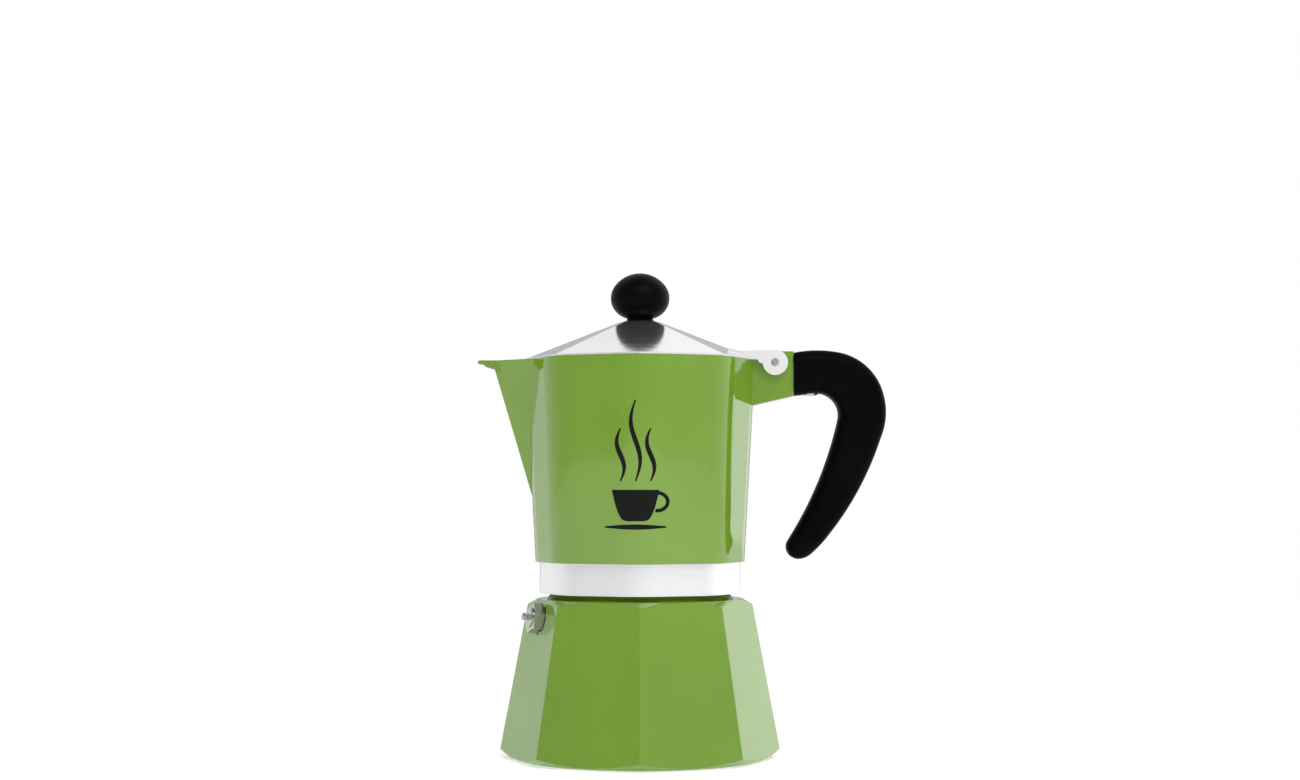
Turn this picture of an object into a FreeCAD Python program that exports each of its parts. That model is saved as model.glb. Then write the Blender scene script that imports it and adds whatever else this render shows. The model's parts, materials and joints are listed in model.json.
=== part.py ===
import FreeCAD, Part
import math
import os
import Sketcher

# A three-cup stovetop moka pot: boiler, funnel, seal pack, collector with handle, and hinged lid.
# Millimetres. The origin is the centre of the boiler's base, +Z is up, the handle is on +X.

doc = FreeCAD.newDocument("moka_pot")
sheet = doc.addObject("Spreadsheet::Sheet", "Sizes")

SIZES = [
    # boiler
    ("base_corner", 46.8),
    ("boiler_rim", 57.6),
    ("foot_inset", 4.9),
    ("foot_slope", 0.57),
    ("neck_radius", 29.5),
    ("neck_wall", 2.1),
    ("neck_height", 5.4),
    ("neck_fillet", 2.5),
    ("shoulder_width", 4.5),
    ("shoulder_slope", 0.576),
    ("rim_overhang", 6.45),
    ("boiler_floor", 3.0),
    ("boiler_wall", 2.8),
    # screw thread between boiler and collector
    ("thread_pitch", 2.0),
    ("thread_drop", 2.75),
    ("thread_depth", 0.45),
    ("thread_clearance", 0.2),
    ("skirt_clearance", 1.1),
    # safety valve, square to one facet of the boiler
    ("valve_azimuth", 202.5),
    ("valve_drop", 11.6),
    ("spot_radius", 5.2),
    ("spot_depth", 0.6),
    ("valve_shank", 2.95),
    ("valve_washer_thickness", 0.8),
    ("valve_hexagon", 8.7),
    ("valve_hexagon_height", 3.3),
    ("valve_inner_length", 6.2),
    ("valve_bore", 2.0),
    ("valve_stem", 0.9),
    ("valve_travel", 0.9),
    ("valve_tip", 6.3),
    ("spring_wire", 0.18),
    ("spring_radius", 1.45),
    # funnel
    ("flange_overlap", 1.3),
    ("funnel_clearance", 0.4),
    ("funnel_taper", 0.7),
    ("funnel_flange_thickness", 1.2),
    ("funnel_depth", 26.5),
    ("funnel_sheet", 0.7),
    ("disc_rise", 6.9),
    ("disc_thickness", 0.8),
    ("disc_hole", 0.42),
    ("tube_radius", 6.1),
    ("tube_gap", 4.5),
    # seal pack
    ("gasket_thickness", 3.0),
    ("gasket_overlap", 1.4),
    ("gasket_clearance", 1.0),
    ("plate_thickness", 0.8),
    ("plate_hole", 0.5),
    # collector
    ("skirt_overlap", 3.6),
    ("skirt_wall", 1.6),
    ("skirt_round", 19.0),
    ("plate_headroom", 1.7),
    ("body_height", 66.9),
    ("body_ledge", 1.4),
    ("body_flare", 3.4),
    ("body_round", 20.0),
    ("collector_wall", 2.3),
    ("floor_thickness", 1.7),
    ("spout_drop", 45.2),
    ("spout_depth", 12.4),
    ("spout_half_width", 12.5),
    ("spout_nose", 4.6),
    ("lug_width", 11.0),
    ("lug_rise", 2.8),
    ("lug_drop", 11.9),
    ("lug_depth", 13.9),
    ("tang_length", 10.0),
    ("tang_width", 5.0),
    # column
    ("column_base", 9.5),
    ("column_top", 5.4),
    ("column_rise", 52.0),
    ("column_clearance", 0.02),
    ("outlet_radius", 3.0),
    # lid and hinge
    ("pin_reach", 7.7),
    ("pin_drop", 1.0),
    ("pin_radius", 1.3),
    ("lid_margin", 1.3),
    ("lid_apex_corner", 6.6),
    ("lid_height", 12.9),
    ("lid_gap", 0.06),
    ("lid_edge", 0.5),
    ("lid_sheet", 1.7),
    ("ear_radius", 4.2),
    ("ear_thickness", 2.3),
    ("ear_gap", 0.25),
    # knob
    ("knob_radius", 9.8),
    ("knob_stand", 8.0),
    ("knob_cap", 8.3),
    ("knob_neck", 4.3),
    ("knob_screw", 1.5),
    # handle
    ("handle_width", 13.0),
    ("handle_round", 3.9),
    ("handle_depth", 30.7),
    ("handle_drop", 54.1),
    ("handle_screw", 1.5),
    ("handle_screw_inset", 5.6),
]
for row, (name, value) in enumerate(SIZES, 1):
    sheet.set("A%d" % row, name)
    sheet.set("B%d" % row, repr(value))
    sheet.setAlias("B%d" % row, name)
doc.recompute()


class Size:
    """A number together with the sheet formula that gives it."""

    def __init__(self, value, text):
        self.value = value
        self.text = text

    def __add__(self, other):
        other = size(other)
        return Size(self.value + other.value, "(%s + %s)" % (self.text, other.text))

    def __sub__(self, other):
        other = size(other)
        return Size(self.value - other.value, "(%s - %s)" % (self.text, other.text))

    def __mul__(self, other):
        other = size(other)
        return Size(self.value * other.value, "(%s * %s)" % (self.text, other.text))

    def __truediv__(self, other):
        other = size(other)
        return Size(self.value / other.value, "(%s / %s)" % (self.text, other.text))

    def __neg__(self):
        return Size(-self.value, "(0 - %s)" % self.text)

    __radd__ = __add__
    __rmul__ = __mul__

    def __rsub__(self, other):
        return size(other) - self


def size(number):
    if isinstance(number, Size):
        return number
    if number < 0:
        return Size(float(number), "(0 - %.6f)" % -number)
    return Size(float(number), "%.6f" % number)


def cosine(degrees):
    return Size(math.cos(math.radians(degrees.value)), "cos(%s * 1 deg)" % degrees.text)


def sine(degrees):
    return Size(math.sin(math.radians(degrees.value)), "sin(%s * 1 deg)" % degrees.text)


def arctangent(ratio):
    return Size(math.degrees(math.atan(ratio.value)), "(atan(%s) / 1 deg)" % ratio.text)


for name, value in SIZES:
    globals()[name] = Size(value, "Sizes." + name)

APOTHEM = math.cos(math.radians(22.5))

# places that follow from the sizes, so that what fits together stays together
foot_radius = base_corner - foot_inset
rim_corner = neck_radius + rim_overhang
shoulder_radius = neck_radius + shoulder_width
shoulder_height = boiler_rim - neck_height
neck_bore = neck_radius - neck_wall
thread_start = boiler_rim - thread_drop
neck_crest = neck_radius + thread_depth
skirt_crest = neck_crest + thread_clearance
skirt_bore = neck_radius + skirt_clearance
valve_height = boiler_rim - valve_drop
valve_radius = (base_corner - (base_corner - rim_corner) * valve_height / boiler_rim) * APOTHEM
valve_tilt = arctangent((base_corner - rim_corner) * APOTHEM / boiler_rim)
funnel_flange = neck_bore + flange_overlap
funnel_top = neck_bore - funnel_clearance
funnel_bottom = funnel_top - funnel_taper
funnel_rim = boiler_rim + funnel_flange_thickness
cup_floor = funnel_rim - funnel_depth
disc_top = cup_floor + disc_rise
disc_low = disc_top - disc_thickness
tube_end = boiler_floor + tube_gap
gasket_radius = skirt_bore - gasket_clearance
gasket_bore = funnel_top - gasket_overlap
gasket_top = funnel_rim + gasket_thickness
plate_top = gasket_top + plate_thickness
skirt_bottom = boiler_rim - skirt_overlap
skirt_apothem = skirt_bore + skirt_wall
body_bottom = plate_top + plate_headroom
body_top = body_bottom + body_height
body_apothem_low = skirt_apothem + body_ledge
body_apothem_high = body_apothem_low + body_flare
collector_floor = body_bottom + floor_thickness
column_height = collector_floor + column_rise
spout_low_height = body_top - spout_drop
spout_root = body_apothem_low - 3.6
spout_shoulder = body_apothem_low + 0.4
spout_low_reach = body_apothem_low + 2.3
spout_reach = body_apothem_high + spout_depth
spout_lip = spout_reach + spout_nose
lug_top = body_top + lug_rise
lug_low_height = body_top - lug_drop
lug_end_top = body_apothem_high + lug_depth
lug_end_low = lug_end_top - 1.0
pin_x = body_apothem_high + pin_reach
pin_z = body_top - pin_drop
lid_corner = body_apothem_high + lid_margin
lid_bottom = body_top + lid_gap
lid_apex = body_top + lid_height
knob_centre = lid_apex + knob_stand
knob_top = knob_centre + knob_cap
handle_reach = lug_end_top + handle_depth
handle_tip = lug_low_height - handle_drop
handle_screw_x = lug_end_top + handle_screw_inset


def bind(thing, prop, number):
    thing.setExpression(prop, size(number).text)


def new_body(label):
    body = doc.addObject("PartDesign::Body", label)
    body.Label = label
    return body


def new_sketch(body, role="XZ_Plane", height=0):
    sketch = body.newObject("Sketcher::SketchObject", body.Label + "_sketch")
    planes = [f for f in body.Origin.OriginFeatures if f.Role == role]
    sketch.AttachmentSupport = [(planes[0], "")]
    sketch.MapMode = "FlatFace"
    bind(sketch, "AttachmentOffset.Base.z", height)
    return sketch


def place_point(sketch, geometry, vertex, x, y):
    x, y = size(x), size(y)
    n = sketch.addConstraint(Sketcher.Constraint("DistanceX", -1, 1, geometry, vertex, x.value))
    bind(sketch, "Constraints[%d]" % n, x)
    n = sketch.addConstraint(Sketcher.Constraint("DistanceY", -1, 1, geometry, vertex, y.value))
    bind(sketch, "Constraints[%d]" % n, y)


def arc_between(x0, y0, x1, y1, radius):
    """The short arc from one point to the next; a positive radius turns left."""
    half = math.hypot(x1 - x0, y1 - y0) / 2
    rise = math.sqrt(radius * radius - half * half) * (1 if radius > 0 else -1)
    cx = (x0 + x1) / 2 - (y1 - y0) / 2 / half * rise
    cy = (y0 + y1) / 2 + (x1 - x0) / 2 / half * rise
    start = math.atan2(y0 - cy, x0 - cx)
    end = math.atan2(y1 - cy, x1 - cx)
    if radius < 0:
        start, end = end, start
    if end < start:
        end += 2 * math.pi
    circle = Part.Circle(FreeCAD.Vector(cx, cy, 0), FreeCAD.Vector(0, 0, 1), abs(radius))
    return Part.ArcOfCircle(circle, start, end)


def draw(sketch, points):
    """A closed outline. A point's third value is the radius of the arc that leads on from it.

    A smooth arc leaves its point along the line or arc before it, and finds its own radius.
    """
    first = sketch.GeometryCount
    ends = []
    for i, point in enumerate(points):
        x0, y0 = size(point[0]), size(point[1])
        x1, y1 = size(points[(i + 1) % len(points)][0]), size(points[(i + 1) % len(points)][1])
        if len(point) > 2:
            radius = size(point[2])
            n = sketch.addGeometry(arc_between(x0.value, y0.value, x1.value, y1.value, radius.value))
            ends.append((1, 2) if radius.value > 0 else (2, 1))
            if radius.value < 0:
                radius = -radius
            if len(point) == 3:
                c = sketch.addConstraint(Sketcher.Constraint("Radius", n, radius.value))
                bind(sketch, "Constraints[%d]" % c, radius)
        else:
            a = FreeCAD.Vector(x0.value, y0.value, 0)
            b = FreeCAD.Vector(x1.value, y1.value, 0)
            sketch.addGeometry(Part.LineSegment(a, b))
            ends.append((1, 2))
    for i, point in enumerate(points):
        j = (i + 1) % len(points)
        kind = "Tangent" if len(points[j]) == 4 else "Coincident"
        link = Sketcher.Constraint(kind, first + i, ends[i][1], first + j, ends[j][0])
        sketch.addConstraint(link)
    for i, point in enumerate(points):
        place_point(sketch, first + i, ends[i][0], point[0], point[1])
    return sketch


def draw_circle(sketch, x, y, radius):
    radius = size(radius)
    centre = FreeCAD.Vector(size(x).value, size(y).value, 0)
    n = sketch.addGeometry(Part.Circle(centre, FreeCAD.Vector(0, 0, 1), radius.value))
    place_point(sketch, n, 3, x, y)
    c = sketch.addConstraint(Sketcher.Constraint("Radius", n, radius.value))
    bind(sketch, "Constraints[%d]" % c, radius)
    return sketch


def polygon(corner, sides=8, turn=0.0):
    points = []
    for k in range(sides):
        angle = math.radians(turn + 360.0 * k / sides)
        points.append((corner * math.cos(angle), corner * math.sin(angle)))
    return points


def soft_octagon(apothem, radius):
    """An octagon whose corners are arcs of the given radius."""
    corner = apothem / APOTHEM
    back = radius * math.tan(math.radians(22.5))
    points = []
    for k in range(8):
        angle = math.radians(45 * k)
        x, y = corner * math.cos(angle), corner * math.sin(angle)
        before, after = angle + math.radians(67.5), angle + math.radians(112.5)
        points.append((x - back * math.cos(before), y - back * math.sin(before), radius))
        points.append((x + back * math.cos(after), y + back * math.sin(after)))
    return points


def feature(body, kind, profile):
    made = body.newObject("PartDesign::" + kind, body.Label + "_" + kind.lower())
    made.Profile = profile
    profile.Visibility = False
    return made


def revolve(body, points, cut=False):
    """Turns an outline of (radius, height) points about the upright axis."""
    profile = draw(new_sketch(body), points)
    made = feature(body, "Groove" if cut else "Revolution", profile)
    made.ReferenceAxis = (profile, ["V_Axis"])
    made.Angle = 360
    doc.recompute()
    return made


def pad(body, profile, length, both=False):
    made = feature(body, "Pad", profile)
    bind(made, "Length", length)
    made.Midplane = both
    doc.recompute()
    return made


def pocket(body, profile, depth, both=False, flip=False):
    made = feature(body, "Pocket", profile)
    bind(made, "Length", depth)
    made.Midplane = both
    made.Reversed = flip
    doc.recompute()
    return made


def loft(body, profiles, cut=False):
    made = feature(body, "SubtractiveLoft" if cut else "AdditiveLoft", profiles[0])
    made.Sections = [(p, [""]) for p in profiles[1:]]
    made.Ruled = True
    for p in profiles:
        p.Visibility = False
    doc.recompute()
    return made


def fillet(body, test, radius, kind="Fillet"):
    """Rounds the edges of the body so far for which test(edge) holds."""
    base = body.Tip
    names = ["Edge%d" % i for i, e in enumerate(base.Shape.Edges, 1) if test(e)]
    made = body.newObject("PartDesign::" + kind, body.Label + "_" + kind.lower())
    made.Base = (base, names)
    bind(made, "Size" if kind == "Chamfer" else "Radius", radius)
    doc.recompute()
    return made


def ridge(body, root, crest, start, turns):
    """A low screw ridge of one turn between two radii."""
    profile = new_sketch(body)
    draw(profile, [(root, start), (crest, start + 0.2), (crest, start + 0.5), (root, start + 0.7)])
    made = feature(body, "AdditiveHelix", profile)
    made.ReferenceAxis = (profile, ["V_Axis"])
    made.Mode = "pitch-turns-angle"
    bind(made, "Pitch", thread_pitch)
    made.Turns = turns
    made.LeftHanded = False
    made.Angle = 0
    doc.recompute()
    return made


# ---------------------------------------------------------------- boiler
boiler = new_body("boiler")
loft(boiler, [
    draw(new_sketch(boiler, "XY_Plane", 0), polygon(base_corner)),
    draw(new_sketch(boiler, "XY_Plane", boiler_rim), polygon(rim_corner)),
])
revolve(boiler, [
    (foot_radius, 0),
    (foot_radius, -2),
    (foot_radius + 10, -2),
    (foot_radius + 10, foot_slope * 10),
], cut=True)
fillet_foot = neck_radius + neck_fillet
revolve(boiler, [
    (shoulder_radius + 14, shoulder_height - shoulder_slope * 14),
    (shoulder_radius + 14, boiler_rim + 2),
    (neck_radius, boiler_rim + 2),
    (neck_radius, shoulder_height + 0.2 + neck_fillet, neck_fillet),
    (fillet_foot, shoulder_height + 0.2),
    (shoulder_radius, shoulder_height),
], cut=True)
wall_low = base_corner * APOTHEM - boiler_wall
wall_high = (base_corner * 0.19 + rim_corner * 0.81) * APOTHEM - boiler_wall
revolve(boiler, [
    (0, boiler_floor),
    (wall_low - 4.6, boiler_floor, 4),
    (wall_low - 0.8, boiler_floor + 4),
    (wall_high, boiler_rim * 0.81),
    (neck_bore, boiler_rim - 6.6),
    (neck_bore, boiler_rim + 2),
    (0, boiler_rim + 2),
], cut=True)


def on_facet(body, sketch, out):
    """Lays a sketch square to the valve's axis, this far outside the facet."""
    radius = valve_radius + cosine(valve_tilt) * out
    sketch.AttachmentOffset = FreeCAD.Placement(FreeCAD.Vector(), turned)
    bind(sketch, "AttachmentOffset.Base.x", radius * cosine(valve_azimuth))
    bind(sketch, "AttachmentOffset.Base.y", radius * sine(valve_azimuth))
    bind(sketch, "AttachmentOffset.Base.z", valve_height + sine(valve_tilt) * out)
    return sketch


side = FreeCAD.Vector(-math.sin(math.radians(valve_azimuth.value)),
                      math.cos(math.radians(valve_azimuth.value)), 0)
turned = FreeCAD.Rotation(side, 90 - valve_tilt.value)
spot = on_facet(boiler, draw_circle(new_sketch(boiler, "XY_Plane"), 0, 0, spot_radius), size(3))
pocket(boiler, spot, spot_depth + 3)
hole = on_facet(boiler, draw_circle(new_sketch(boiler, "XY_Plane"), 0, 0, valve_shank + 0.02), size(3))
pocket(boiler, hole, 12)
ridge(boiler, neck_radius - 0.1, neck_crest, thread_start, 1)

# ---------------------------------------------------------------- safety valve


def on_valve_axis(body):
    """Turns a piece drawn about +Z on to the valve's axis."""
    body.Placement = FreeCAD.Placement(FreeCAD.Vector(), turned)
    bind(body, "Placement.Base.x", valve_radius * cosine(valve_azimuth))
    bind(body, "Placement.Base.y", valve_radius * sine(valve_azimuth))
    bind(body, "Placement.Base.z", valve_height)


washer_top = valve_washer_thickness - spot_depth
hexagon_top = washer_top + valve_hexagon_height
cap_inside = hexagon_top - 0.9
seat = 1.4 - valve_inner_length

valve_body = new_body("safety_valve_body")
pad(valve_body, draw(new_sketch(valve_body, "XY_Plane", washer_top),
                     polygon(valve_hexagon / 2 / math.cos(math.radians(30)), 6, 12)),
    valve_hexagon_height)
revolve(valve_body, [
    (valve_hexagon / 2 - 0.2, hexagon_top + 1),
    (valve_hexagon / 2 - 0.2, hexagon_top),
    (valve_hexagon / 2 + 1.2, hexagon_top - 0.8),
    (valve_hexagon / 2 + 1.2, hexagon_top + 1),
], cut=True)
revolve(valve_body, [
    (0, -valve_inner_length),
    (valve_shank - 0.4, -valve_inner_length),
    (valve_shank, 0.4 - valve_inner_length),
    (valve_shank, washer_top + 0.5),
    (3.3, washer_top + 0.5),
    (3.3, hexagon_top + 0.4),
    (3.0, hexagon_top + 0.7),
    (0, hexagon_top + 0.7),
])
revolve(valve_body, [
    (0, -1 - valve_inner_length),
    (1.0, -1 - valve_inner_length),
    (1.0, seat),
    (valve_bore, seat),
    (valve_bore, cap_inside),
    (valve_stem + 0.06, cap_inside),
    (valve_stem + 0.06, hexagon_top + 2),
    (0, hexagon_top + 2),
], cut=True)
on_valve_axis(valve_body)

valve_washer = new_body("safety_valve_washer")
revolve(valve_washer, [
    (valve_shank + 0.03, -spot_depth),
    (valve_hexagon / 2 - 0.1, -spot_depth),
    (valve_hexagon / 2 - 0.1, washer_top),
    (valve_shank + 0.03, washer_top),
])
on_valve_axis(valve_washer)

valve_seal = new_body("safety_valve_seal")
revolve(valve_seal, [
    (0, seat),
    (valve_bore - 0.1, seat),
    (valve_bore - 0.1, seat + 0.7),
    (0, seat + 0.7),
])
on_valve_axis(valve_seal)

valve_piston = new_body("safety_valve_piston")
revolve(valve_piston, [
    (0, seat + 0.7),
    (valve_bore - 0.1, seat + 0.7),
    (valve_bore - 0.1, seat + 1.5),
    (valve_stem, seat + 1.5),
    (valve_stem, valve_tip - 1.5),
    (valve_stem - 0.3, valve_tip - 1.4),
    (valve_stem - 0.3, valve_tip - 1.1),
    (valve_stem + 0.3, valve_tip - 0.9),
    (valve_stem + 0.3, valve_tip - 0.3),
    (valve_stem, valve_tip),
    (0, valve_tip),
])
on_valve_axis(valve_piston)

spring = new_body("safety_valve_spring")
coil = draw_circle(new_sketch(spring), spring_radius, cap_inside - spring_wire, spring_wire)
wound = feature(spring, "AdditiveHelix", coil)
wound.ReferenceAxis = (coil, ["V_Axis"])
wound.Mode = "height-turns-angle"
bind(wound, "Height", cap_inside - seat - 1.5 - valve_travel - 0.1 - spring_wire * 2)
wound.Turns = 4
wound.Reversed = True
doc.recompute()
on_valve_axis(spring)

# ---------------------------------------------------------------- funnel
funnel = new_body("funnel")
revolve(funnel, [
    (tube_radius - funnel_sheet, tube_end),
    (tube_radius, tube_end),
    (tube_radius, cup_floor - 0.6, -0.8),
    (tube_radius + 0.8, cup_floor + 0.1),
    (funnel_bottom - 2.2, cup_floor, 2.2),
    (funnel_bottom, cup_floor + 2.2),
    (funnel_top, boiler_rim),
    (funnel_flange - 0.5, boiler_rim, 0.7),
    (funnel_flange - 0.5, funnel_rim),
    (funnel_top - 0.1, funnel_rim, 0.7),
    (funnel_top - funnel_sheet, funnel_rim - 0.8),
    (funnel_bottom - funnel_sheet + 0.25, disc_low),
    (funnel_bottom - funnel_sheet - 0.6, disc_low),
    (funnel_bottom - funnel_sheet - 0.6, cup_floor + 2.4),
    (funnel_bottom - 2.7, cup_floor + 0.8),
    (tube_radius, cup_floor + 0.9, 0.7),
    (tube_radius - funnel_sheet, cup_floor + 0.2),
])

disc = new_body("funnel_filter_disc")
revolve(disc, [
    (0, disc_low),
    (funnel_bottom - funnel_sheet + 0.22, disc_low),
    (funnel_bottom - funnel_sheet + 0.22, disc_top),
    (0, disc_top),
])


def perforate(body, top, thickness, hole_radius, pitch, rings):
    """A centre hole and rings of six, twelve, eighteen and more round it."""
    holes = draw_circle(new_sketch(body, "XY_Plane", top), 0, 0, hole_radius)
    pocket(body, holes, thickness + 1)
    for ring in range(1, rings + 1):
        holes = draw_circle(new_sketch(body, "XY_Plane", top), pitch * ring, 0, hole_radius)
        drilled = pocket(body, holes, thickness + 1)
        pattern = body.newObject("PartDesign::PolarPattern", body.Label + "_ring")
        pattern.Originals = [drilled]
        pattern.Axis = (holes, ["N_Axis"])
        pattern.Angle = 360
        pattern.Occurrences = 6 * ring
        body.Tip = pattern
        doc.recompute()


perforate(disc, disc_top, disc_thickness, disc_hole, funnel_bottom * 0.152, 5)

# ---------------------------------------------------------------- seal pack
gasket = new_body("gasket")
revolve(gasket, [
    (gasket_bore, funnel_rim),
    (gasket_radius - 0.5, funnel_rim, 0.5),
    (gasket_radius, funnel_rim + 0.5),
    (gasket_radius, gasket_top - 0.5, 0.5),
    (gasket_radius - 0.5, gasket_top),
    (gasket_bore, gasket_top),
])

plate = new_body("filter_plate")
revolve(plate, [
    (0, gasket_top),
    (gasket_radius, gasket_top),
    (gasket_radius, plate_top),
    (0, plate_top),
])
perforate(plate, plate_top, plate_thickness, plate_hole, gasket_bore * 0.15, 5)

# ---------------------------------------------------------------- collector
collector = new_body("collector")
pad(collector, draw(new_sketch(collector, "XY_Plane", skirt_bottom),
                    soft_octagon(skirt_apothem, skirt_round)), body_bottom - skirt_bottom)
loft(collector, [
    draw(new_sketch(collector, "XY_Plane", body_bottom), soft_octagon(body_apothem_low, body_round)),
    draw(new_sketch(collector, "XY_Plane", body_top), soft_octagon(body_apothem_high, body_round)),
])

# spout: a three-cornered beak that grows out of the wall, then its lip
beak = []
for height, reach, half in [
    (spout_low_height, spout_low_reach, size(1.2)),
    (body_top, spout_reach, spout_half_width),
]:
    beak.append(draw(new_sketch(collector, "XY_Plane", height), [
        (-spout_root, half), (-spout_shoulder, half), (-reach, 0.35),
        (-reach, -0.35), (-spout_shoulder, -half), (-spout_root, -half)]))
loft(collector, beak)
lip = new_sketch(collector)
draw(lip, [
    (-spout_reach + 6, body_top),
    (-spout_reach + 6, body_top - 5),
    (-spout_reach + 1.0, body_top - 3.0),
    (-spout_reach - 2.2, body_top - 2.1),
    (-spout_reach - 2.6, body_top - 1.4),
    (-spout_lip, body_top - 1.1),
    (-spout_lip, body_top - 0.3),
    (-spout_lip + 0.5, body_top),
])
pad(collector, lip, 3.6, both=True)

# hinge lug with the tang that the handle sits on
lug = new_sketch(collector)
draw(lug, [
    (body_apothem_high - 3.5, lug_low_height - 4),
    (lug_end_top, lug_low_height),
    (lug_end_top, pin_z - 6.5),
    (lug_end_low + tang_length, pin_z - 6.5),
    (lug_end_low + tang_length, pin_z),
    (lug_end_top - 0.2, pin_z),
    (lug_end_top, lug_top),
    (body_apothem_high + 2.2, lug_top),
    (body_apothem_high + 1.9, body_top - 0.2),
    (body_apothem_high - 3.5, body_top - 0.2),
])
pad(collector, lug, lug_width, both=True)
for way in (1, -1):
    flank = new_sketch(collector)
    draw(flank, [
        (lug_end_top + 0.05, lug_low_height - 3),
        (lug_end_top + 0.05 + tang_length * 2, lug_low_height - 3),
        (lug_end_top + 0.05 + tang_length * 2, lug_top + 3),
        (lug_end_top + 0.05, lug_top + 3),
    ])
    bind(flank, "AttachmentOffset.Base.z", tang_width / 2 * way + (0 if way > 0 else -20))
    pocket(collector, flank, 20, flip=True)

# inside: the jug, the hollow under its floor and the hole that the column stands in
spigot_radius = column_base - 2.5
inner_round = body_round - collector_wall
loft(collector, [
    draw(new_sketch(collector, "XY_Plane", collector_floor),
         soft_octagon(body_apothem_low - collector_wall, inner_round)),
    draw(new_sketch(collector, "XY_Plane", body_top + 0.01),
         soft_octagon(body_apothem_high - collector_wall, inner_round)),
], cut=True)
channel = []
for height, reach, half in [
    (spout_low_height + 10, spout_low_reach - 2.4, size(0.8)),
    (body_top + 0.01, spout_reach - 1.6, spout_half_width - 1.9),
]:
    channel.append(draw(new_sketch(collector, "XY_Plane", height), [
        (2 - spout_root, half), (0.5 - spout_shoulder, half), (-reach, 0.3),
        (-reach, -0.3), (0.5 - spout_shoulder, -half), (2 - spout_root, -half)]))
loft(collector, channel, cut=True)
groove = new_sketch(collector)
draw(groove, [
    (-spout_reach + 5, body_top + 2),
    (-spout_reach + 5, body_top - 3.0),
    (-spout_reach - 1, body_top - 1.1),
    (-spout_lip - 2, body_top - 0.35),
    (-spout_lip - 2, body_top + 2),
])
pocket(collector, groove, 1.8, both=True)

revolve(collector, [
    (0, skirt_bottom - 1),
    (skirt_bore + 1, skirt_bottom - 1),
    (skirt_bore + 1, skirt_bottom),
    (skirt_bore, skirt_bottom + 0.9),
    (skirt_bore, plate_top),
    (gasket_bore - 1.5, plate_top),
    (spigot_radius, collector_floor - 2),
    (spigot_radius, collector_floor + 1),
    (0, collector_floor + 1),
], cut=True)
bore = draw_circle(new_sketch(collector, "XZ_Plane"), pin_x, pin_z, pin_radius + 0.01)
pocket(collector, bore, lug_width + 4, both=True)
screw_bore = draw_circle(new_sketch(collector, "XY_Plane", lug_low_height - 8),
                         handle_screw_x, 0, handle_screw + 0.02)
pocket(collector, screw_bore, 18, flip=True)
ridge(collector, skirt_bore + 0.1, skirt_crest, thread_start + 0.1, 1)

# ---------------------------------------------------------------- column, pressed into the floor
column = new_body("column")
revolve(column, [
    (spigot_radius - 1.4, collector_floor - 1.9),
    (spigot_radius - column_clearance, collector_floor - 1.9),
    (spigot_radius - column_clearance, collector_floor),
    (column_base, collector_floor),
    (column_base - 1.2, collector_floor + 3),
    (column_top, column_height - 3, 3),
    (column_top - 2.8, column_height),
    (0, column_height),
    (0, column_height - 3),
    (column_top - 1.8, column_height - 6),
    (column_base - 4.8, collector_floor + 4),
])
outlet = draw_circle(new_sketch(column, "XZ_Plane"), 0, column_height - 8, outlet_radius)
pocket(column, outlet, column_base * 2, both=True)

# ---------------------------------------------------------------- hinge pin
pin = new_body("hinge_pin")
half_pin = lug_width / 2 + ear_gap + ear_thickness + 0.3
shank = draw_circle(new_sketch(pin, "XZ_Plane", -half_pin), pin_x, pin_z, pin_radius)
pad(pin, shank, half_pin * 2)
fillet(pin, lambda e: e.Curve.TypeId == "Part::GeomCircle", 0.3, "Chamfer")

# ---------------------------------------------------------------- handle
handle = new_body("handle")
outline = new_sketch(handle)
top_z = lug_top - 0.3
draw(outline, [
    (lug_end_top + 0.1, lug_low_height + 0.1),
    (lug_end_top + 7.1, lug_low_height + 0.9, -7.26, "smooth"),
    (handle_reach - 15.7, lug_low_height - 7.9, -129, "smooth"),
    (lug_end_top - 1.8, handle_tip + 6.1, 4.0),
    (lug_end_top + 1.5, handle_tip, 6.95),
    (lug_end_top + 5.9, handle_tip + 1.8, 45),
    (lug_end_top + 12.1, handle_tip + 8.5, 104),
    (handle_reach - 1.5, lug_low_height - 13.6, 22),
    (handle_reach - 0.6, lug_low_height + 0.4, 19.0),
    (handle_reach - 15.3, top_z + 0.1, 40),
    (lug_end_top + 0.1, top_z),
])
pad(handle, outline, handle_width, both=True)


def on_outline(edge):
    box = edge.BoundBox
    return abs(abs(box.Center.y) - handle_width.value / 2) < 0.01 and box.Center.x > lug_end_top.value + 0.6


fillet(handle, on_outline, handle_round)
socket = new_sketch(handle)
draw(socket, [
    (lug_end_low - 2, pin_z - 6.6),
    (lug_end_low + tang_length + 0.2, pin_z - 6.6),
    (lug_end_low + tang_length + 0.2, pin_z + 0.1),
    (lug_end_low - 2, pin_z + 0.1),
])
pocket(handle, socket, tang_width + 0.1, both=True)
shaft = draw_circle(new_sketch(handle, "XY_Plane", lug_low_height - 6),
                    handle_screw_x, 0, handle_screw + 0.1)
pocket(handle, shaft, 14, flip=True)
sink = draw_circle(new_sketch(handle, "XY_Plane", lug_low_height - 6), handle_screw_x, 0, 3.3)
pocket(handle, sink, 8.4, flip=True)

screw_seat = lug_low_height + 2.4
screw_washer = new_body("handle_screw_washer")
ring = draw_circle(new_sketch(screw_washer, "XY_Plane", screw_seat - 0.6), handle_screw_x, 0, 3.1)
draw_circle(ring, handle_screw_x, 0, handle_screw + 0.05)
pad(screw_washer, ring, 0.6)

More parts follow.
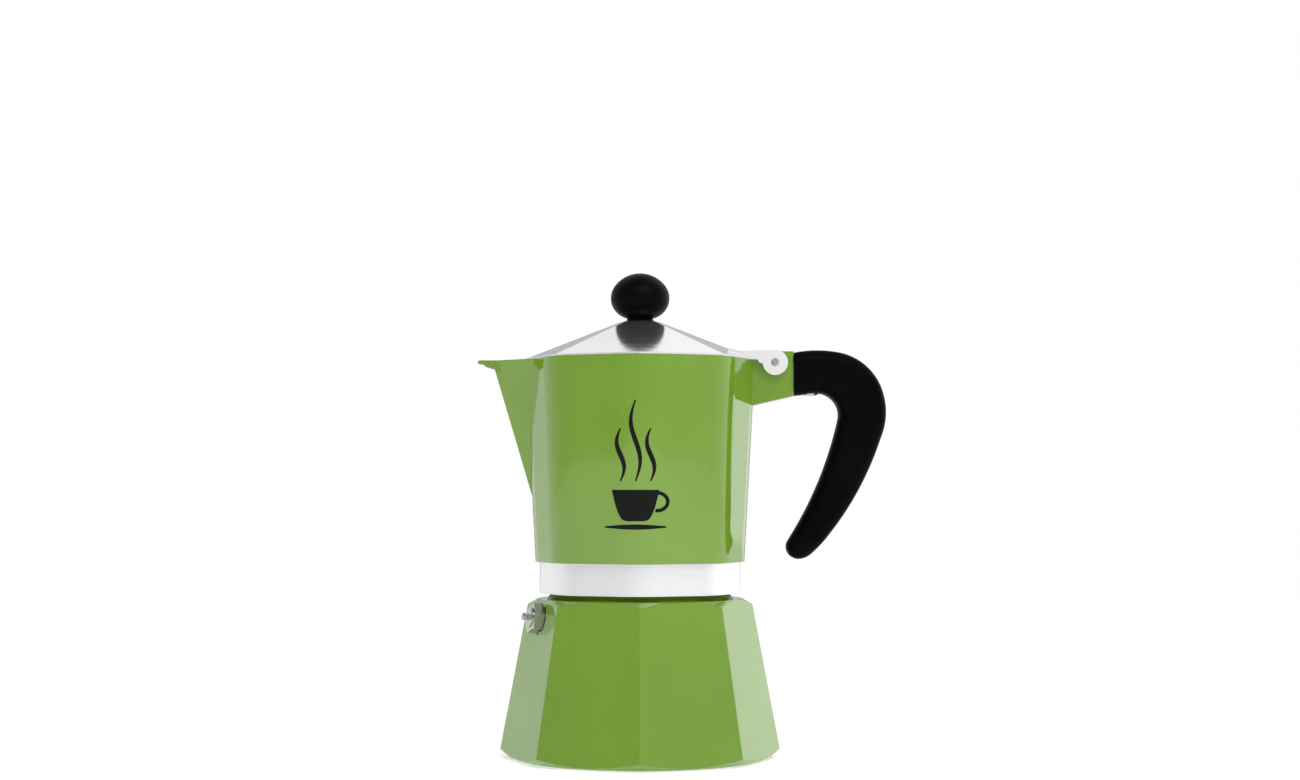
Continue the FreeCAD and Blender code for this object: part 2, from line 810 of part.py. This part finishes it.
screw = new_body("handle_screw")
head = draw_circle(new_sketch(screw, "XY_Plane", screw_seat - 2.2), handle_screw_x, 0, 2.8)
pad(screw, head, 1.6)
body_of = draw_circle(new_sketch(screw, "XY_Plane", screw_seat - 0.6), handle_screw_x, 0, handle_screw)
pad(screw, body_of, 8)
fillet(screw, lambda e: e.Curve.TypeId == "Part::GeomCircle"
       and abs(e.BoundBox.Center.z - screw_seat.value + 2.2) < 0.01, 0.5)
slot = new_sketch(screw, "XY_Plane", screw_seat - 2.2)
draw(slot, [
    (handle_screw_x - 4, -0.4),
    (handle_screw_x + 4, -0.4),
    (handle_screw_x + 4, 0.4),
    (handle_screw_x - 4, 0.4),
])
pocket(screw, slot, 0.9, flip=True)

# ---------------------------------------------------------------- lid
lid_rise = (lid_apex - lid_bottom - lid_edge) / (lid_corner - lid_apex_corner)
lid = new_body("lid")
pad(lid, draw(new_sketch(lid, "XY_Plane", lid_bottom), polygon(lid_corner)), lid_edge)
loft(lid, [
    draw(new_sketch(lid, "XY_Plane", lid_bottom + lid_edge), polygon(lid_corner)),
    draw(new_sketch(lid, "XY_Plane", lid_apex), polygon(lid_apex_corner)),
])
tab_root = lid_corner - 9.3
tab_top = lid_apex - lid_rise * (tab_root - lid_apex_corner)
tab = new_sketch(lid)
draw(tab, [
    (tab_root, tab_top - 0.3),
    (tab_root, lid_bottom),
    (lid_corner + 0.3, lid_bottom),
    (pin_x - ear_radius - 1, pin_z - 0.2),
    (pin_x - ear_radius, pin_z - 0.4, ear_radius + 0.001),
    (pin_x, pin_z - ear_radius, ear_radius),
    (pin_x + ear_radius, pin_z, ear_radius),
    (pin_x, pin_z + ear_radius),
    (lid_corner - 3.3, pin_z + ear_radius - 0.35, -26),
])
pad(lid, tab, lug_width + ear_gap * 2 + ear_thickness * 2, both=True)
gap = new_sketch(lid)
draw(gap, [
    (pin_x - 8.2, pin_z - 8),
    (pin_x + 8.2, pin_z - 8),
    (pin_x + 8.2, pin_z + 8),
    (pin_x - 8.2, pin_z + 8),
])
pocket(lid, gap, lug_width + ear_gap * 2, both=True)
loft(lid, [
    draw(new_sketch(lid, "XY_Plane", lid_bottom - 0.01),
         polygon(lid_corner - (lid_sheet - lid_edge) / lid_rise)),
    draw(new_sketch(lid, "XY_Plane", lid_apex - lid_sheet),
         polygon(lid_apex_corner)),
], cut=True)
eye = draw_circle(new_sketch(lid, "XZ_Plane"), pin_x, pin_z, pin_radius + 0.04)
pocket(lid, eye, 40, both=True)
crown = draw_circle(new_sketch(lid, "XY_Plane", lid_apex + 1), 0, 0, knob_screw + 0.1)
pocket(lid, crown, 6)

# ---------------------------------------------------------------- knob
knob = new_body("lid_knob")
revolve(knob, [
    (0, lid_apex),
    (knob_neck + 0.3, lid_apex),
    (knob_neck, knob_centre - 6.8, 6.96),
    (knob_radius, knob_centre, 6.8),
    (knob_radius - 1.36, knob_centre + 4.08, 10.55),
    (0, knob_top),
])
thread = draw_circle(new_sketch(knob, "XY_Plane", lid_apex - 1), 0, 0, knob_screw + 0.9)
pocket(knob, thread, 9, flip=True)

insert = new_body("knob_insert")
tube = draw_circle(new_sketch(insert, "XY_Plane", lid_apex), 0, 0, knob_screw + 0.88)
draw_circle(tube, 0, 0, knob_screw + 0.02)
pad(insert, tube, 7.9)

knob_washer = new_body("knob_washer")
ring = draw_circle(new_sketch(knob_washer, "XY_Plane", lid_apex - lid_sheet - 0.6), 0, 0, 3.8)
draw_circle(ring, 0, 0, knob_screw + 0.05)
pad(knob_washer, ring, 0.6)

knob_bolt = new_body("knob_screw")
under = lid_apex - lid_sheet - 0.6
revolve(knob_bolt, [
    (0, under - 1.8),
    (2.2, under - 1.8, 0.7),
    (2.9, under - 1.1),
    (2.9, under),
    (knob_screw, under),
    (knob_screw, under + 8.6),
    (0, under + 8.6),
])
cross = new_sketch(knob_bolt, "XY_Plane", under - 1.9)
draw(cross, [(-4, -0.4), (4, -0.4), (4, 0.4), (-4, 0.4)])
pocket(knob_bolt, cross, 1.0, flip=True)

# ---------------------------------------------------------------- checks and files
doc.recompute()
for thing in doc.Objects:
    if any(word in thing.State for word in ("Invalid", "Error")):
        raise RuntimeError("%s: %s" % (thing.Label, thing.getStatusString()))

os.makedirs("parts", exist_ok=True)
for thing in doc.Objects:
    if thing.TypeId != "PartDesign::Body":
        continue
    shape = thing.Shape
    if shape.isNull() or not shape.isValid() or len(shape.Solids) != 1:
        raise RuntimeError("%s is not one valid solid" % thing.Label)
    shape.exportStep("parts/%s.step" % thing.Label)
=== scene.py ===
import json
import math

import bmesh
import bpy
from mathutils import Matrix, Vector
from mathutils.bvhtree import BVHTree


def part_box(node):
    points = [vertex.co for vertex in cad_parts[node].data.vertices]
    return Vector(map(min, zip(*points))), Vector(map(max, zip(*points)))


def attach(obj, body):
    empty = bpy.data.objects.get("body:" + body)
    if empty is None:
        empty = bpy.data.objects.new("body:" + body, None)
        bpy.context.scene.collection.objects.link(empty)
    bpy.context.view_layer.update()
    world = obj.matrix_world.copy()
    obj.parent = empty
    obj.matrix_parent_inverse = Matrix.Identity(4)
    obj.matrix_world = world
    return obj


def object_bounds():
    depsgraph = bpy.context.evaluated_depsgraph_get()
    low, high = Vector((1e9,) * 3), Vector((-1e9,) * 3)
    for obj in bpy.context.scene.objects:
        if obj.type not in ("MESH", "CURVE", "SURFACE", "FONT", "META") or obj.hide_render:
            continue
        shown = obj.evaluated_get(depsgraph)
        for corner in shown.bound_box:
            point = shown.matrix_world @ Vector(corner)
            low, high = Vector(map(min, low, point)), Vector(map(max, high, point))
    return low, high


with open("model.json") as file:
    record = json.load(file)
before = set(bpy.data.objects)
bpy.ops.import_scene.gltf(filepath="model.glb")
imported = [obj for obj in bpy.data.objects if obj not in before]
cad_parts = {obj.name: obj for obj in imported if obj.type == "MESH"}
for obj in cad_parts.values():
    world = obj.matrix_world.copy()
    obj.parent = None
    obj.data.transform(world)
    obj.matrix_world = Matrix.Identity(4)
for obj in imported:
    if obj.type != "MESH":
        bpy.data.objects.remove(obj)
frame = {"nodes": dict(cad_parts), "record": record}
cad_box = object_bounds()
nodes = frame["nodes"]
scene = bpy.context.scene
collector_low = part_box("collector")[0]

# ------------------------------------------------------------------ node helpers


class Nodes:
    """A node tree with short calls for the nodes used below."""

    def __init__(self, tree):
        self.tree = tree

    def new(self, kind, **settings):
        node = self.tree.nodes.new(kind)
        for key, value in settings.items():
            setattr(node, key, value)
        return node

    def feed(self, value, socket):
        """Sets a socket to a number or a colour, or links an output to it."""
        if isinstance(value, (int, float)):
            socket.default_value = value
        elif isinstance(value, tuple):
            socket.default_value = value + (1.0,)
        else:
            self.tree.links.new(value, socket)

    def split(self, vector):
        node = self.new("ShaderNodeSeparateXYZ")
        self.feed(vector, node.inputs[0])
        return node.outputs

    def math(self, operation, a, b=0.0):
        node = self.new("ShaderNodeMath", operation=operation)
        self.feed(a, node.inputs[0])
        self.feed(b, node.inputs[1])
        return node.outputs[0]

    def plus(self, a, b):
        return self.math("ADD", a, b)

    def times(self, first, *others):
        for other in others:
            first = self.math("MULTIPLY", first, other)
        return first

    def above(self, value, limit):
        """1 where the value is over the limit, and 0 elsewhere."""
        return self.math("GREATER_THAN", value, limit)

    def inverse(self, mask):
        return self.math("SUBTRACT", 1.0, mask)

    def remap(self, value, low, high, to_low, to_high, smooth=False):
        kind = "SMOOTHSTEP" if smooth else "LINEAR"
        node = self.new("ShaderNodeMapRange", interpolation_type=kind, clamp=True)
        self.feed(value, node.inputs["Value"])
        for key, number in zip(("From Min", "From Max", "To Min", "To Max"), (low, high, to_low, to_high)):
            node.inputs[key].default_value = number
        return node.outputs["Result"]

    def mix(self, factor, a, b):
        """A colour that goes from a to b with the factor."""
        node = self.new("ShaderNodeMix", data_type="RGBA")
        self.feed(factor, node.inputs["Factor"])
        self.feed(a, node.inputs[6])
        self.feed(b, node.inputs[7])
        return node.outputs[2]

    def blend(self, factor, a, b):
        """A number that goes from a to b with the factor."""
        node = self.new("ShaderNodeMix", data_type="FLOAT")
        self.feed(factor, node.inputs["Factor"])
        self.feed(a, node.inputs[2])
        self.feed(b, node.inputs[3])
        return node.outputs[0]


class Shader(Nodes):
    """A new material, with the nodes that feed its Principled shader."""

    def __init__(self, name):
        self.material = bpy.data.materials.new(name)
        self.material.use_nodes = True
        super().__init__(self.material.node_tree)
        self.surface = self.tree.nodes["Principled BSDF"]
        self.coords = self.new("ShaderNodeTexCoord")

    def set(self, **values):
        """Sets the shader's own sockets to what is the same all over."""
        for key, value in values.items():
            self.surface.inputs[key.replace("_", " ")].default_value = value

    def use(self, **outputs):
        """Links outputs to the shader's sockets."""
        for key, output in outputs.items():
            self.feed(output, self.surface.inputs[key.replace("_", " ")])

    def noise(self, scale, detail=3.0, rough=0.5, stretch=(1, 1, 1)):
        """Noise in the object's own metres, scaled on each axis by stretch."""
        scaled = self.new("ShaderNodeMapping")
        scaled.inputs["Scale"].default_value = stretch
        self.feed(self.coords.outputs["Object"], scaled.inputs["Vector"])
        node = self.new("ShaderNodeTexNoise")
        node.inputs["Scale"].default_value = scale
        node.inputs["Detail"].default_value = detail
        node.inputs["Roughness"].default_value = rough
        self.feed(scaled.outputs["Vector"], node.inputs["Vector"])
        return node.outputs["Fac"]

    def mottled(self, tones, scale, detail=3.0):
        """A colour that drifts between two tones in soft clouds."""
        return self.mix(self.remap(self.noise(scale, detail), 0.35, 0.65, 0, 1), *tones)

    def bump(self, height, distance, strength=0.5, under=None):
        node = self.new("ShaderNodeBump")
        node.inputs["Distance"].default_value = distance
        node.inputs["Strength"].default_value = strength
        self.feed(height, node.inputs["Height"])
        if under:
            self.feed(under, node.inputs["Normal"])
        return node.outputs["Normal"]

    def eased(self, radius):
        """The surface's direction with its sharp edges softened."""
        node = self.new("ShaderNodeBevel", samples=6)
        node.inputs["Radius"].default_value = radius
        return node.outputs["Normal"]


# ------------------------------------------------------------------ materials

FINE_MARKS = 0.00002  # depth in metres of turning marks and of the enamel's orange peel
GREENS = ((0.168, 0.318, 0.021), (0.152, 0.294, 0.018))
BLACKS = ((0.0014, 0.0014, 0.0018), (0.0022, 0.0022, 0.0027))


def enamel_parts(shader):
    """Colour, roughness and height of gloss enamel sprayed over a casting."""
    colour = shader.mottled(GREENS, 28, 2)
    rough = shader.remap(shader.noise(90, 4), 0.3, 0.7, 0.035, 0.075)
    return colour, rough, shader.noise(420, 2)


def metal_parts(shader, rough, tones, line_scale=2600):
    """Colour, roughness and height of metal turned or brushed round the upright axis."""
    lines = shader.noise(1.0, 3, 0.6, (18, 18, line_scale))
    patch = shader.noise(34, 4)
    colour = shader.mix(shader.remap(patch, 0.35, 0.65, 0, 1), *tones)
    mixed = shader.plus(shader.times(lines, 0.6), shader.times(patch, 0.4))
    return colour, shader.remap(mixed, 0.35, 0.65, *rough), lines


def place_and_way(shader):
    """Where a point is, which way it faces, and how far from the upright axis it faces outward."""
    place = shader.split(shader.coords.outputs["Object"])
    way = shader.split(shader.coords.outputs["Normal"])
    outward = shader.plus(shader.times(place[0], way[0]), shader.times(place[1], way[1]))
    return place, way, outward


def enamelled_casting(shader, painted, rough, tones, metallic, edge):
    """Enamel where painted is 1 and bare metal where it is 0, with edges softened by edge metres."""
    colour, gloss, peel = enamel_parts(shader)
    bare, bare_rough, lines = metal_parts(shader, rough, tones)
    shader.set(IOR=1.55, Coat_Roughness=0.03)
    shader.use(Base_Color=shader.mix(painted, bare, colour),
               Roughness=shader.blend(painted, bare_rough, gloss),
               Metallic=shader.times(shader.inverse(painted), metallic),
               Coat_Weight=shader.times(painted, 0.25),
               Normal=shader.bump(shader.blend(painted, lines, peel), FINE_MARKS, under=shader.eased(edge)))
    return shader.material


def boiler_material():
    """Enamel outside; bare metal in the chamber, on the rim's flat and under the base."""
    shader = Shader("boiler_enamel_and_bare")
    outward = place_and_way(shader)[2]
    painted = shader.above(outward, 0.002)
    cast = ((0.74, 0.74, 0.75), (0.62, 0.62, 0.63))
    return enamelled_casting(shader, painted, (0.26, 0.42), cast, metallic=0.9, edge=0.0007)


def collector_material():
    """Enamel outside and above the skirt; bare metal on the skirt, inside the jug and on its rim."""
    # metres from the upright axis: all that is nearer is inside, and a flat top that is nearer is the rim
    inside_reach = 0.0296
    rim_reach = 0.0385
    ledge = collector_low[2] + 0.0103
    shader = Shader("collector_enamel_and_bare")
    (x, y, z), way, outward = place_and_way(shader)
    reach = shader.math("SQRT", shader.plus(shader.times(x, x), shader.times(y, y)))
    outside = shader.times(shader.above(outward, -0.001), shader.above(reach, inside_reach))
    above_skirt = shader.above(z, ledge - 0.00005)
    rim = shader.times(shader.above(way[2], 0.9), shader.inverse(shader.above(reach, rim_reach)))
    painted = shader.times(outside, above_skirt, shader.inverse(rim))
    turned = ((0.86, 0.86, 0.875), (0.80, 0.80, 0.82))
    return enamelled_casting(shader, painted, (0.14, 0.26), turned, metallic=0.6, edge=0.0004)


def lid_material():
    """Bright turned top; the upright sides and hinge ears are only tumbled."""
    shader = Shader("lid_polished")
    colour, rough, lines = metal_parts(shader, (0.09, 0.16), ((0.87, 0.86, 0.88), (0.83, 0.82, 0.84)))
    upward = shader.split(shader.coords.outputs["Normal"])[2]
    sloped = shader.remap(shader.math("ABSOLUTE", upward), 0.25, 0.35, 0.0, 1.0)
    shader.use(Base_Color=colour,
               Roughness=shader.blend(sloped, 0.3, rough),
               Metallic=shader.blend(sloped, 0.35, 0.95),
               Normal=shader.bump(lines, FINE_MARKS, under=shader.eased(0.0003)))
    return shader.material


def funnel_material():
    """Spun sheet with short handling scratches that run round the wall."""
    shader = Shader("funnel_spun_aluminium")
    spun = ((0.70, 0.685, 0.66), (0.58, 0.565, 0.54))
    colour, rough, lines = metal_parts(shader, (0.22, 0.38), spun, 1900)
    scratches = shader.remap(shader.noise(1.0, 2, 0.6, (70, 70, 1500)), 0.70, 0.73, 0.0, 1.0)
    dents = shader.bump(shader.noise(55, 2), 0.0003, 0.35)
    shader.set(Metallic=1.0)
    shader.use(Base_Color=shader.mix(shader.times(scratches, 0.45), colour, (0.30, 0.28, 0.26)),
               Roughness=shader.plus(rough, shader.times(scratches, 0.2)),
               Normal=shader.bump(lines, FINE_MARKS, under=dents))
    return shader.material


def metal(name, rough, tones, marks=0.00001, line_scale=900):
    """Plain turned or drawn metal, between two roughnesses and two tones."""
    shader = Shader(name)
    colour, roughness, lines = metal_parts(shader, rough, tones, line_scale)
    shader.set(Metallic=1.0)
    shader.use(Base_Color=colour, Roughness=roughness, Normal=shader.bump(lines, marks))
    return shader.material


def moulded(name, rough, tones, grain, depth, shine=0.5):
    """Plastic or rubber from a mould, with a fine grain."""
    shader = Shader(name)
    colour = shader.mottled(tones, 60)
    shader.set(Specular_IOR_Level=shine)
    shader.use(Base_Color=colour,
               Roughness=shader.remap(shader.noise(160, 4), 0.3, 0.7, *rough),
               Normal=shader.bump(shader.noise(grain, 2), depth))
    return shader.material


MATERIALS = {
    "boiler_enamel": boiler_material(),
    "collector_enamel": collector_material(),
    "lid_aluminium": lid_material(),
    "funnel_aluminium": funnel_material(),
    "filter_aluminium": metal("filter_sheet", (0.26, 0.42), ((0.62, 0.61, 0.59), (0.50, 0.49, 0.475)),
                              0.00003, 60),
    "column_aluminium": metal("turned_aluminium", (0.24, 0.38), ((0.80, 0.80, 0.81), (0.70, 0.70, 0.71)),
                              FINE_MARKS, 2600),
    "valve_chrome": metal("valve_nickel", (0.10, 0.22), ((0.46, 0.47, 0.43), (0.38, 0.39, 0.35))),
    "steel": metal("bright_steel", (0.18, 0.32), ((0.60, 0.60, 0.615), (0.50, 0.50, 0.51))),
    "brass": metal("turned_brass", (0.20, 0.32), ((0.72, 0.53, 0.22), (0.62, 0.45, 0.18))),
    "handle_black": moulded("handle_phenolic", (0.42, 0.55), BLACKS, 900, 0.00005, 0.03),
    "knob_black": moulded("knob_phenolic", (0.34, 0.46), BLACKS, 900, 0.00003, 0.04),
    "gasket_rubber": moulded("pale_rubber", (0.45, 0.62), ((0.72, 0.70, 0.65), (0.66, 0.64, 0.585)),
                             700, 0.00004),
    "seal_rubber": moulded("black_rubber", (0.45, 0.60), ((0.02, 0.02, 0.02), (0.03, 0.03, 0.03)),
                           900, 0.00004),
}

for part in frame["record"]["subparts"]:
    node = nodes[part["node"]]
    node.data.materials.clear()
    node.data.materials.append(MATERIALS[part["material_slot"]])

# ------------------------------------------------------------------ emblem: a plain steaming cup

UNIT = 0.00135  # metres for one unit of the cup's drawing
CUP_X = -0.0013
CUP_Z = collector_low[2] + 0.027
STEAM_BOTTOM = CUP_Z + 0.0098
STEAM_WIDTH = 0.0015
# each wisp's place beside the cup's middle, its height and its swing to either side, in metres
WISPS = ((-0.0048, 0.0167, 0.0012), (0.0, 0.0257, 0.0015), (0.0048, 0.0167, 0.0012))


def swell(along, narrow):
    """From 0 at the ends of a line to 1 halfway, but never quite 0, so that the ends keep some width."""
    return math.sin(math.pi * min(max(along, narrow), 1 - narrow))


def ribbon(points, width):
    """The quads of a flat band along a line of (x, z) points, with width a function of the way along."""
    edges = []
    for i, (x, z) in enumerate(points):
        x_before, z_before = points[max(i - 1, 0)]
        x_after, z_after = points[min(i + 1, len(points) - 1)]
        length = math.hypot(x_after - x_before, z_after - z_before)
        half = width(i / (len(points) - 1)) / 2
        across_x = -(z_after - z_before) / length * half
        across_z = (x_after - x_before) / length * half
        edges.append(((x + across_x, z + across_z), (x - across_x, z - across_z)))
    return [(a[0], b[0], b[1], a[1]) for a, b in zip(edges, edges[1:])]


def wisp(x, height, swing):
    """One S of steam, thickest halfway up."""
    steps = 24
    points = []
    for i in range(steps + 1):
        up = i / steps
        points.append((x + swing * math.sin(2.0 * math.pi * up), STEAM_BOTTOM + height * up))
    return ribbon(points, lambda along: STEAM_WIDTH * (0.25 + 0.75 * swell(along, 0.04)))


def cup():
    """A wide cup seen from the side, filled, with its handle and saucer, in units from the cup's middle."""
    rim_height, depth = 5.2, 7.4
    foot, bowl, roundness = 2.1, 3.472, 0.42  # half width of the foot, what the rim adds, and the curve
    rows, columns = 22, 10
    quads = []
    for i in range(rows):
        upper, lower = ((foot + bowl * (1 - k / rows) ** roundness, rim_height - depth * k / rows)
                        for k in (i, i + 1))
        for j in range(columns):
            left, right = -1 + 2 * j / columns, -1 + 2 * (j + 1) / columns
            quads.append(((upper[0] * left, upper[1]), (upper[0] * right, upper[1]),
                          (lower[0] * right, lower[1]), (lower[0] * left, lower[1])))
    loop_x, loop_z, loop_width, loop_height, loop_steps = 5.1, 2.4, 2.5, 2.1, 24
    loop = []
    for i in range(loop_steps + 1):
        angle = math.radians(100 - 200 * i / loop_steps)
        loop.append((loop_x + loop_width * math.cos(angle), loop_z + loop_height * math.sin(angle)))
    quads += ribbon(loop, lambda along: 0.85)
    saucer_reach, saucer_height, saucer_steps = 7.2, -3.55, 36
    saucer = [(saucer_reach * (2 * i / saucer_steps - 1), saucer_height) for i in range(saucer_steps + 1)]
    quads += ribbon(saucer, lambda along: 0.35 + 0.85 * swell(along, 0.02))
    return [tuple((CUP_X + x * UNIT, CUP_Z + z * UNIT) for x, z in quad) for quad in quads]


def wrap_on_front(obj, name, quads, lift):
    """A mesh piece of flat quads, drawn in the XZ plane, laid on the front of a CAD node."""
    source = bmesh.new()
    source.from_mesh(obj.data)
    surface = BVHTree.FromBMesh(source)
    source.free()
    mesh = bmesh.new()
    for quad in quads:
        corners = []
        for x, z in quad:
            hit, normal, _, _ = surface.ray_cast(Vector((x, cad_box[0][1] - 0.05, z)), Vector((0, 1, 0)))
            corners.append(mesh.verts.new(hit + normal * lift))
        mesh.faces.new(corners)
    bmesh.ops.remove_doubles(mesh, verts=mesh.verts, dist=0.00001)
    bmesh.ops.recalc_face_normals(mesh, faces=mesh.faces)
    data = bpy.data.meshes.new(name)
    mesh.to_mesh(data)
    mesh.free()
    for face in data.polygons:
        face.use_smooth = True
    piece = bpy.data.objects.new(name, data)
    scene.collection.objects.link(piece)
    return piece


art = cup()
for offset, height, swing in WISPS:
    art += wisp(CUP_X + offset, height, swing)
emblem = wrap_on_front(nodes["collector"], "cup_emblem", art, 0.00006)
ink_tones = ((0.006, 0.007, 0.005), (0.009, 0.010, 0.008))
emblem.data.materials.append(moulded("emblem_ink", (0.35, 0.50), ink_tones, 1200, 0.00002, 0.1))
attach(emblem, "collector_unit")

# ------------------------------------------------------------------ floor, light and camera


def floor_material():
    shader = Shader("floor_matt")
    clouds = shader.remap(shader.noise(2.5), 0.3, 0.7, 0, 1)
    shader.set(Specular_IOR_Level=0.1, Emission_Color=(1.0, 1.0, 1.0, 1.0), Emission_Strength=0.45)
    shader.use(Base_Color=shader.mix(clouds, (0.93, 0.93, 0.93), (0.91, 0.91, 0.91)),
               Roughness=shader.remap(shader.noise(30), 0.3, 0.7, 0.7, 0.85))
    return shader.material


def round_floor(radius, gap):
    """A disc just under the object."""
    mesh = bmesh.new()
    bmesh.ops.create_circle(mesh, cap_ends=True, segments=96, radius=radius)
    data = bpy.data.meshes.new("floor")
    mesh.to_mesh(data)
    mesh.free()
    floor = bpy.data.objects.new("floor", data)
    floor.location.z = cad_box[0][2] - gap
    scene.collection.objects.link(floor)
    data.materials.append(floor_material())
    return floor


def softbox(name, place, aim, size, power):
    lamp = bpy.data.lights.new(name, "AREA")
    lamp.shape = "RECTANGLE"
    lamp.size, lamp.size_y = size
    lamp.energy = power
    piece = bpy.data.objects.new(name, lamp)
    piece.location = place
    piece.rotation_euler = (Vector(aim) - Vector(place)).to_track_quat("-Z", "Y").to_euler()
    scene.collection.objects.link(piece)


def studio():
    """White to the camera, and to reflections a studio that is graded from front to back."""
    world = bpy.data.worlds.new("studio")
    scene.world = world
    world.use_nodes = True
    sky = Nodes(world.node_tree)
    x, y, z = sky.split(sky.new("ShaderNodeTexCoord").outputs["Generated"])
    front_to_back = sky.remap(y, -0.30, 0.45, 0.45, 1.0)
    horizon = sky.remap(z, 0.10, 0.50, 1.3, 1.0, smooth=True)
    zenith = sky.remap(z, 0.75, 0.95, 1.0, 0.3, smooth=True)
    sides = sky.remap(x, -0.9, 0.9, 0.75, 1.25, smooth=True)
    # a dark screen straight behind, low down, that draws the outlines of the bright metal
    screen = sky.times(sky.remap(sky.math("ABSOLUTE", x), 0.30, 0.50, 1.0, 0.0, smooth=True),
                       sky.remap(y, 0.0, 0.2, 0.0, 1.0, smooth=True),
                       sky.remap(z, 0.22, 0.40, 1.0, 0.0, smooth=True))
    screened = sky.remap(screen, 0.0, 1.0, 1.0, 0.4, smooth=True)
    reflected = sky.times(horizon, zenith, sides, screened, front_to_back)
    to_camera = sky.new("ShaderNodeLightPath").outputs["Is Camera Ray"]
    sky.feed(sky.blend(to_camera, reflected, 1.0), sky.tree.nodes["Background"].inputs["Color"])


round_floor(1.3, 0.0002)
middle = (0.0, 0.0, 0.09)
softbox("key", (0.32, -0.80, 1.00), middle, (0.6, 0.6), 6.0)
softbox("fill", (-0.42, -0.72, 0.95), middle, (0.6, 0.6), 1.0)
softbox("top", (0.0, 0.25, 1.40), (0.0, 0.2, 0.0), (1.2, 0.8), 0.8)
studio()

scene.view_settings.view_transform = "Standard"
scene.view_settings.look = "None"

lens = bpy.data.cameras.new("camera")
lens.sensor_width = 36.0
lens.lens = 62.9
lens.clip_start = 0.01
lens.clip_end = 60
camera = bpy.data.objects.new("camera", lens)
camera.location = (0.0033, -0.757, 0.0857)
camera.rotation_euler = (math.radians(90 + 2.7), 0, 0)
scene.collection.objects.link(camera)
scene.camera = camera
